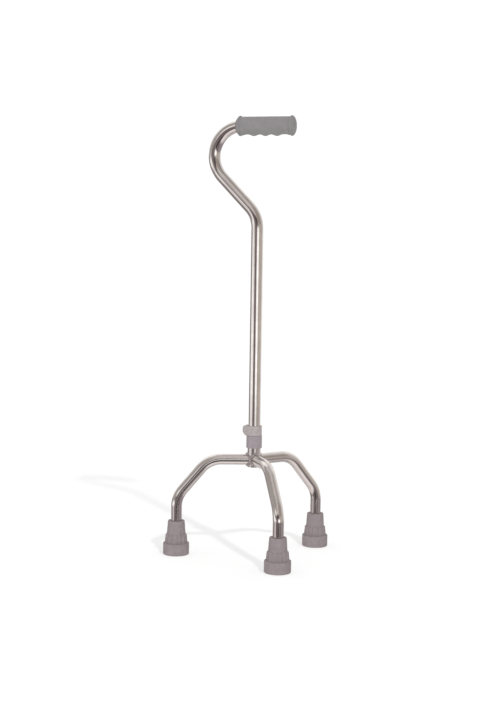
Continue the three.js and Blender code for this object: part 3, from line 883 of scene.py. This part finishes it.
def spring_shell():
    shell = Shell()
    start = spring_high.x - SPRING_WIRE_RADIUS
    end = spring_low.x + SPRING_WIRE_RADIUS
    steps = SPRING_TURNS * SMALL_FACETS
    wire_angles = round_angles(SPRING_WIRE_FACETS)
    loops = []
    for step in range(-1, steps + 2):
        share = min(max(step, 0), steps) / steps
        wire = SPRING_WIRE_RADIUS if 0 <= step <= steps else 0
        turn = 2 * math.pi * SPRING_TURNS * share
        outward = Vector((0, math.cos(turn), math.sin(turn)))
        middle = Vector((blended(start, end, share), 0, PIN_HEIGHT)) + outward * SPRING_COIL_RADIUS
        ring = [middle + wire * (math.cos(a) * outward + math.sin(a) * BACK) for a in wire_angles]
        loops.append(shell.loop(ring))
    shell.bridge_all(loops)
    return shell


# --- Legs, each in a frame whose +X runs out from the shaft along the leg ---

def side_centre(side):
    low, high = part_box(f"ferrule_{side}")
    return (low + high) / 2


def foot_place(side):
    centre = side_centre(side)
    return Matrix.Translation((centre.x, centre.y, 0))


def leg_turn(side):
    centre = side_centre(side)
    return Matrix.Rotation(math.atan2(centre.y, centre.x), 4, "Z")


def leg_route(side):
    foot = side_centre(side).xy.length
    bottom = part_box(f"ferrule_washer_{side}")[1].z + TUBE_GAP
    drop = (foot - LEG_LEVEL_RUN) * math.tan(LEG_SLOPE)
    corners = [
        (SOCKET_RADIUS, 0, LEG_HEIGHT),
        (LEG_LEVEL_RUN, 0, LEG_HEIGHT),
        (foot, 0, LEG_HEIGHT - drop),
        (foot, 0, bottom),
    ]
    return Route(corners, LEG_BEND_RADIUS)


def leg_shell(side):
    """A leg whose inner end is coped to the socket."""
    shell, loops = tube(leg_route(side), LEG_RADIUS, LEG_RADIUS - LEG_WALL, LEG_FACETS)
    cope = SOCKET_RADIUS + LEG_ROOT_GAP
    for number in loops[0] + loops[-1]:
        shell.points[number].x = math.sqrt(cope**2 - shell.points[number].y**2)
    shift = Vector((0, 0, SIDES.index(side)))
    shell.places = [place + shift for place in shell.places]
    return shell.moved(leg_turn(side))


def weld_section(angle):
    """The closed loop of points across the bead at one angle round the seam of a leg and the socket."""
    across = LEG_RADIUS * math.sin(angle)
    seam = Vector((math.sqrt(SOCKET_RADIUS**2 - across**2), across, LEG_RADIUS * math.cos(angle)))
    from_socket = Vector((seam.x, seam.y, 0)).normalized()
    from_leg = Vector((0, math.sin(angle), math.cos(angle)))
    up_socket = (from_leg - from_leg.dot(from_socket) * from_socket).normalized()
    section = []
    for step in range(WELD_STEPS + 1):
        share = step / WELD_STEPS
        bow = 4 * share * (1 - share)
        phase = angle * WELD_RIPPLES / (2 * math.pi) - WELD_BOW * bow
        swell = 1 + WELD_SWELL * (abs(math.sin(math.pi * phase)) - 0.5)
        swell += WELD_WANDER * math.sin(WELD_WANDER_WAVES * angle + WELD_WANDER_START)
        crown = (up_socket + OUTWARD).normalized() * WELD_CROWN * bow
        section.append(seam + WELD_REACH * swell * (up_socket.lerp(OUTWARD, share) + crown))
    socket_side = section[0].copy()
    socket_side.xy = socket_side.xy.normalized() * (SOCKET_RADIUS - WELD_SINK)
    leg_side = section[-1].copy()
    leg_side.yz = leg_side.yz.normalized() * (LEG_RADIUS - WELD_SINK)
    section[0] = socket_side
    section[-1] = leg_side
    root = seam - WELD_SINK * (from_socket + from_leg)
    return [point + Vector((0, 0, LEG_HEIGHT)) for point in [*section, root]]


def weld_shell(side):
    shell = Shell()
    loops = [shell.loop(weld_section(angle)) for angle in round_angles(WELD_RIPPLES * WELD_FACETS)]
    shell.bridge_all(loops, closed=True)
    return shell.moved(leg_turn(side))


def fluted_radius(radius, height, angle):
    """The ferrule's radius with flutes sunk into its skirt, which run on faintly up its cone."""
    if height < RING_TOP or radius < CONE_TOP_RADIUS - FERRULE_MOUTH:
        return radius
    valley = ((1 - math.cos(FLUTES * angle)) / 2) ** FLUTE_POWER
    up_cone = 1 - smooth_step(height, SKIRT_TOP, FERRULE_HEIGHT)
    share = (height - SKIRT_TOP) / (FERRULE_HEIGHT - SKIRT_TOP)
    cone = blended(CONE_BOTTOM_RADIUS, CONE_TOP_RADIUS, share)
    proud = max(0, radius - min(cone, CONE_BOTTOM_RADIUS))
    return radius - min(FLUTE_DEPTH, proud) * valley - FACET_DEPTH * up_cone * valley


def ferrule_shell(side):
    bore = LEG_RADIUS + TUBE_GAP
    tread = []
    for middle in TREAD_GROOVES:
        for offset, height in TREAD_GROOVE_SHAPE:
            radius = middle + offset * TREAD_GROOVE_WIDTH
            tread.append((radius, height * TREAD_GROOVE_DEPTH, SMALL_EDGE))
    corners = [
        (0, 0, 0),
        *tread,
        (RING_RADIUS, 0, RING_BOTTOM_EDGE),
        (RING_RADIUS, RING_TOP, FERRULE_EDGE),
        (SKIRT_BOTTOM_RADIUS, RING_TOP, FERRULE_CREASE),
        (SKIRT_TOP_RADIUS, SKIRT_TOP, FERRULE_EDGE),
        (CONE_BOTTOM_RADIUS, SKIRT_TOP, FERRULE_CREASE),
        (CONE_TOP_RADIUS, FERRULE_HEIGHT, FERRULE_EDGE),
        (bore, FERRULE_HEIGHT, FERRULE_MOUTH),
        (bore, FERRULE_BORE_BOTTOM, 0),
        (0, FERRULE_BORE_BOTTOM, 0),
    ]
    outline = spaced(rounded(corners), FERRULE_STEP)
    place = foot_place(side) @ leg_turn(side)
    return lathe(outline, place, FERRULE_FACETS, reshape=fluted_radius)


def washer_shell(side):
    low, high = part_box(f"ferrule_washer_{side}")
    sizes = (WASHER_HOLE_RADIUS, WASHER_RADIUS, low.z, high.z, SMALL_EDGE)
    return ring_shell(*sizes, foot_place(side), WASHER_FACETS)


# --- Finishes ---

class Nodes:
    """A node tree, with short ways to add nodes to it."""

    MIX_FIRST = 6  # numbers of the mix node's colour sockets, whose names aren't unique
    MIX_SECOND = 7
    MIX_RESULT = 2

    def __init__(self, tree):
        self.tree = tree

    def add(self, kind, inputs, output=0, **settings):
        """Adds a node, whose inputs are values or other nodes' outputs, and returns its output."""
        node = self.tree.nodes.new(kind)
        for setting, value in settings.items():
            setattr(node, setting, value)
        for socket, value in inputs.items():
            if isinstance(value, bpy.types.NodeSocket):
                self.tree.links.new(value, node.inputs[socket])
            else:
                node.inputs[socket].default_value = value
        return node.outputs[output] if len(node.outputs) else None

    def maths(self, operation, *values):
        return self.add("ShaderNodeMath", dict(enumerate(values)), operation=operation)

    def mixed(self, factor, first, second):
        """A colour between the first, which may be another node's output, and the second."""
        inputs = {
            "Factor": factor,
            self.MIX_FIRST: (*first, 1) if isinstance(first, tuple) else first,
            self.MIX_SECOND: (*second, 1),
        }
        return self.add("ShaderNodeMix", inputs, self.MIX_RESULT, data_type="RGBA")


class Finish(Nodes):
    """A material's node tree, with short ways to add the nodes that the finishes share."""

    def __init__(self, name, **settings):
        self.material = bpy.data.materials.new(name)
        self.material.use_nodes = True
        super().__init__(self.material.node_tree)
        self.shader = self.tree.nodes["Principled BSDF"]
        for socket, value in settings.items():
            self.shader.inputs[socket.replace("_", " ")].default_value = value

    def own_place(self):
        """The point's place in the object's own frame."""
        return self.add("ShaderNodeTexCoord", {}, "Object")

    def tube_place(self):
        """The point's place on the straightened tube."""
        return self.add("ShaderNodeAttribute", {}, "Vector", attribute_name="place")

    def stretched(self, place, scale):
        return self.add("ShaderNodeMapping", {"Vector": place, "Scale": scale})

    def noise(self, place, size, detail=3.0, roughness=0.5):
        """Noise from 0 to 1 whose lumps are about this size."""
        inputs = {"Vector": place, "Scale": 1 / size, "Detail": detail, "Roughness": roughness}
        return self.add("ShaderNodeTexNoise", inputs)

    def ranged(self, value, low, high, edges=NOISE_RANGE):
        """The value carried from between the edges to between low and high."""
        start, end = edges
        inputs = {"Value": value, "From Min": start, "From Max": end, "To Min": low, "To Max": high}
        return self.add("ShaderNodeMapRange", inputs)

    def bump(self, height, distance, below=None):
        """Bumps of this height, over any bumps below."""
        inputs = {"Height": height, "Distance": distance}
        if below is not None:
            inputs["Normal"] = below
        return self.add("ShaderNodeBump", inputs)

    def set(self, **sockets):
        """Links the shader's sockets and returns the material."""
        for socket, value in sockets.items():
            self.tree.links.new(value, self.shader.inputs[socket.replace("_", " ")])
        return self.material


def chromed_tube():
    """Polished chrome over drawn tube: faint lengthwise polishing lines, haze and a slight waviness."""
    finish = Finish("chromed_tube", Metallic=1.0)
    place = finish.tube_place()
    lines = finish.noise(finish.stretched(place, CHROME_LINE_STRETCH), CHROME_LINE_SIZE, detail=2)
    haze = finish.noise(place, CHROME_HAZE_SIZE)
    waves = finish.noise(finish.stretched(place, CHROME_WAVE_STRETCH), CHROME_WAVE_SIZE, detail=1)
    specks = finish.noise(place, CHROME_SPECK_SIZE, detail=2, roughness=0.7)
    speckled = finish.ranged(specks, 0, CHROME_SPECK_STRENGTH, CHROME_SPECK_EDGES)
    tint = finish.mixed(finish.ranged(haze, 0, 1), CHROME_COLOUR, CHROME_HAZE_COLOUR)
    tint = finish.mixed(speckled, tint, CHROME_SPECK_COLOUR)
    hazed = finish.ranged(haze, *CHROME_ROUGHNESS)
    roughness = finish.maths("ADD", hazed, finish.ranged(lines, 0, CHROME_LINE_ROUGHNESS))
    normal = finish.bump(waves, CHROME_WAVE_HEIGHT)
    return finish.set(Base_Color=tint, Roughness=roughness, Normal=normal)


def weld_metal():
    """Chrome over rippled weld: lumpier and duller than the tube."""
    finish = Finish("weld_metal", Metallic=1.0)
    place = finish.own_place()
    lumps = finish.noise(place, WELD_LUMP_SIZE)
    grain = finish.noise(place, WELD_GRAIN_SIZE, detail=4)
    tint = finish.mixed(finish.ranged(lumps, 0, 1), WELD_COLOUR, WELD_LUMP_COLOUR)
    roughness = finish.ranged(grain, *WELD_ROUGHNESS)
    normal = finish.bump(grain, WELD_GRAIN_HEIGHT, finish.bump(lumps, WELD_LUMP_HEIGHT))
    return finish.set(Base_Color=tint, Roughness=roughness, Normal=normal)


def plain_steel():
    """Turned or drawn steel with a faint oily grain."""
    finish = Finish("plain_steel", Metallic=1.0)
    place = finish.own_place()
    grain = finish.noise(finish.stretched(place, STEEL_GRAIN_STRETCH), STEEL_GRAIN_SIZE, detail=4)
    stain = finish.noise(place, STEEL_STAIN_SIZE)
    tint = finish.mixed(finish.ranged(stain, 0, 1), STEEL_COLOUR, STEEL_STAIN_COLOUR)
    roughness = finish.ranged(grain, *STEEL_ROUGHNESS)
    normal = finish.bump(grain, STEEL_GRAIN_HEIGHT)
    return finish.set(Base_Color=tint, Roughness=roughness, Normal=normal)


def moulded(name, colour, worn, lump, grain, grain_height, roughness):
    """A moulded plastic or rubber: slow colour drift, fine mould grain and small specks of wear."""
    finish = Finish(name)
    place = finish.own_place()
    drift = finish.noise(place, lump, detail=4)
    fine = finish.noise(place, grain, detail=3, roughness=0.6)
    specks = finish.noise(place, MOULD_SPECK_SIZE * grain, detail=5, roughness=0.7)
    speckled = finish.ranged(specks, 0, MOULD_SPECK_STRENGTH, MOULD_SPECK_EDGES)
    tint = finish.mixed(finish.ranged(drift, 0, 1), colour, worn)
    tint = finish.mixed(speckled, tint, tuple(MOULD_SPECK_LIGHTNESS * part for part in worn))
    normal = finish.bump(fine, grain_height, finish.bump(drift, MOULD_DRIFT_HEIGHT))
    return finish.set(Base_Color=tint, Roughness=finish.ranged(fine, *roughness), Normal=normal)


def grip_vinyl():
    return moulded(
        "grip_vinyl", colour=(0.268, 0.252, 0.256), worn=(0.236, 0.224, 0.228),
        lump=14 * MM, grain=0.5 * MM, grain_height=0.03 * MM, roughness=(0.48, 0.62),
    )


def collar_plastic():
    return moulded(
        "collar_plastic", colour=(0.48, 0.43, 0.425), worn=(0.35, 0.315, 0.31),
        lump=3 * MM, grain=0.4 * MM, grain_height=0.06 * MM, roughness=(0.5, 0.65),
    )


def sleeve_plastic():
    return moulded(
        "sleeve_plastic", colour=(0.355, 0.305, 0.33), worn=(0.31, 0.27, 0.29),
        lump=8 * MM, grain=0.4 * MM, grain_height=0.02 * MM, roughness=(0.22, 0.34),
    )


def plug_nylon():
    return moulded(
        "plug_nylon", colour=(0.03, 0.03, 0.032), worn=(0.04, 0.04, 0.042),
        lump=5 * MM, grain=0.4 * MM, grain_height=0.02 * MM, roughness=(0.4, 0.5),
    )


def ferrule_rubber():
    return moulded(
        "ferrule_rubber", colour=(0.3, 0.25, 0.262), worn=(0.255, 0.215, 0.225),
        lump=7 * MM, grain=0.45 * MM, grain_height=0.05 * MM, roughness=(0.5, 0.66),
    )


FINISHES = {
    "chromed_tube": chromed_tube(),
    "weld_metal": weld_metal(),
    "plain_steel": plain_steel(),
    "grip_vinyl": grip_vinyl(),
    "collar_plastic": collar_plastic(),
    "sleeve_plastic": sleeve_plastic(),
    "plug_nylon": plug_nylon(),
    "ferrule_rubber": ferrule_rubber(),
}


# --- Assembly ---

def add_upper():
    add_piece("shaft", shaft_shell(), "upper", "swan_neck_shaft", "chromed_tube")
    add_piece("grip", grip_shell(), "upper", "hand_grip", "grip_vinyl")
    add_piece("end_plug", end_plug_shell(), "upper", "shaft_end_plug", "plug_nylon")


def add_lock():
    add_piece("pin", pin_shell(), "lock", "lock_pin", "plain_steel")
    add_piece("cap", cap_shell(), "lock", "release_cap", "collar_plastic")
    spring = add_piece("spring", spring_shell(), "base", "pin_spring", "plain_steel")
    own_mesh(spring)


def add_socket():
    add_piece("socket", socket_shell(), "base", "socket_tube", "chromed_tube")
    add_piece("sleeve", sleeve_shell(), "base", "socket_sleeve", "sleeve_plastic")
    chamber = pin_bore(PIN_CHAMBER_RADIUS, COLLAR_LIP_BORE, PIN_CHAMBER_END)
    tail = pin_bore(PIN_TAIL_RADIUS + TUBE_GAP, COLLAR_LIP_BORE, NOSE_REACH)
    add_piece("collar", collar_shell(), "base", "lock_collar", "collar_plastic", (chamber, tail))


def add_leg(side):
    add_piece(f"leg_tube_{side}", leg_shell(side), "base", f"leg_{side}", "chromed_tube")
    add_piece(f"weld_bead_{side}", weld_shell(side), "base", f"weld_{side}", "weld_metal")
    add_piece(f"tip_{side}", ferrule_shell(side), "base", f"ferrule_{side}", "ferrule_rubber")
    add_piece(f"washer_{side}", washer_shell(side), "base", f"ferrule_washer_{side}", "plain_steel")


# --- Studio ---

def direction(turn, rise):
    """The direction at a turn from the -Y side towards +X, and at a rise above the level."""
    return Vector((math.sin(turn) * math.cos(rise), -math.cos(turn) * math.cos(rise), math.sin(rise)))


def add_camera():
    data = bpy.data.cameras.new("camera")
    data.lens = CAMERA_LENS
    data.sensor_width = CAMERA_SENSOR
    data.clip_end = CAMERA_REACH
    camera = linked("camera", data)
    behind = direction(-CAMERA_YAW, CAMERA_PITCH)
    level = Vector((math.cos(CAMERA_YAW), -math.sin(CAMERA_YAW), 0))
    upright = behind.cross(level)
    right = level * math.cos(CAMERA_ROLL) + upright * math.sin(CAMERA_ROLL)
    up = upright * math.cos(CAMERA_ROLL) - level * math.sin(CAMERA_ROLL)
    turned = Matrix((right, up, behind)).transposed().to_4x4()
    place = Matrix.Translation((0, -CAMERA_DISTANCE, CAMERA_HEIGHT)) @ turned
    camera.matrix_world = Matrix.Rotation(CAMERA_AZIMUTH, 4, "Z") @ place
    bpy.context.scene.camera = camera


def add_floor():
    """A pale floor that glows a little, so that only faint shadows show on it."""
    finish = Finish("pale_floor", Specular_IOR_Level=0.0, Roughness=1.0, Emission_Strength=FLOOR_GLOW)
    finish.shader.inputs["Emission Color"].default_value = (1, 1, 1, 1)
    cloud = finish.noise(finish.own_place(), FLOOR_CLOUD_SIZE, detail=2)
    finish.set(Base_Color=finish.mixed(cloud, FLOOR_COLOUR, FLOOR_CLOUD_COLOUR))
    disc = lathe([(radius, 0) for radius in FLOOR_RINGS])
    floor = linked("floor", mesh_of("floor", disc))
    floor.location.z = -FLOOR_GAP
    floor.data.materials.append(finish.material)
    floor.visible_glossy = False


def add_sun(name, azimuth, elevation, strength, softness, shadowed):
    """A distant lamp. The azimuth is from the camera's side, positive to its right."""
    data = bpy.data.lights.new(name, "SUN")
    data.energy = strength
    data.angle = math.radians(softness)
    data.use_shadow = shadowed
    lamp = linked(name, data)
    away = direction(CAMERA_AZIMUTH + math.radians(azimuth), math.radians(elevation))
    lamp.rotation_mode = "QUATERNION"
    lamp.rotation_quaternion = away.to_track_quat("Z", "Y")
    lamp.visible_glossy = False


def mirrored_colour(nodes):
    """The colour that the chrome mirrors in each direction: the studio's panels on a pale ground."""
    direction = nodes.add("ShaderNodeTexCoord", {}, "Generated")
    turn = (0, 0, math.pi / 2 - CAMERA_AZIMUTH)
    turned = nodes.add("ShaderNodeMapping", {"Vector": direction, "Rotation": turn})
    x, y, z = (nodes.add("ShaderNodeSeparateXYZ", {"Vector": turned}, axis) for axis in "XYZ")
    azimuth = nodes.maths("ARCTAN2", y, x)
    elevation = nodes.maths("ARCSINE", z)

    def within(value, low, high, soft):
        middle = math.radians(low + high) / 2
        half = math.radians(high - low) / 2
        edge = math.radians(soft)
        off = nodes.maths("ABSOLUTE", nodes.maths("SUBTRACT", value, middle))
        inputs = {"Value": off, "From Min": half + edge, "From Max": half - edge}
        return nodes.add("ShaderNodeMapRange", inputs, interpolation_type="SMOOTHSTEP")

    colour = PALE
    for left, right, bottom, top, soft, panel in STUDIO_PANELS:
        across = within(azimuth, left, right, soft)
        upright = within(elevation, bottom, top, soft)
        colour = nodes.mixed(nodes.maths("MULTIPLY", across, upright), colour, panel)
    return colour


def add_world():
    """A white studio, in which the chrome mirrors the pale, dark and brown things round it."""
    world = bpy.data.worlds.new("studio")
    world.use_nodes = True
    bpy.context.scene.world = world
    nodes = Nodes(world.node_tree)
    nodes.tree.nodes.clear()
    white = (*BACKDROP_COLOUR, 1)
    mirrored = nodes.add("ShaderNodeBackground", {"Color": mirrored_colour(nodes)})
    dome = nodes.add("ShaderNodeBackground", {"Color": white, "Strength": DOME_STRENGTH})
    backdrop = nodes.add("ShaderNodeBackground", {"Color": white, "Strength": BACKDROP_STRENGTH})
    glossy = nodes.add("ShaderNodeLightPath", {}, "Is Glossy Ray")
    seen = nodes.add("ShaderNodeLightPath", {}, "Is Camera Ray")
    surface = nodes.add("ShaderNodeMixShader", {0: glossy, 1: dome, 2: mirrored})
    surface = nodes.add("ShaderNodeMixShader", {0: seen, 1: surface, 2: backdrop})
    nodes.add("ShaderNodeOutputWorld", {"Surface": surface})


# --- The scene ---

add_camera()
add_upper()
add_lock()
add_socket()
for side in SIDES:
    add_leg(side)
add_floor()
add_world()
for sun in SUNS:
    add_sun(*sun)
bpy.context.scene.view_settings.view_transform = "Standard"
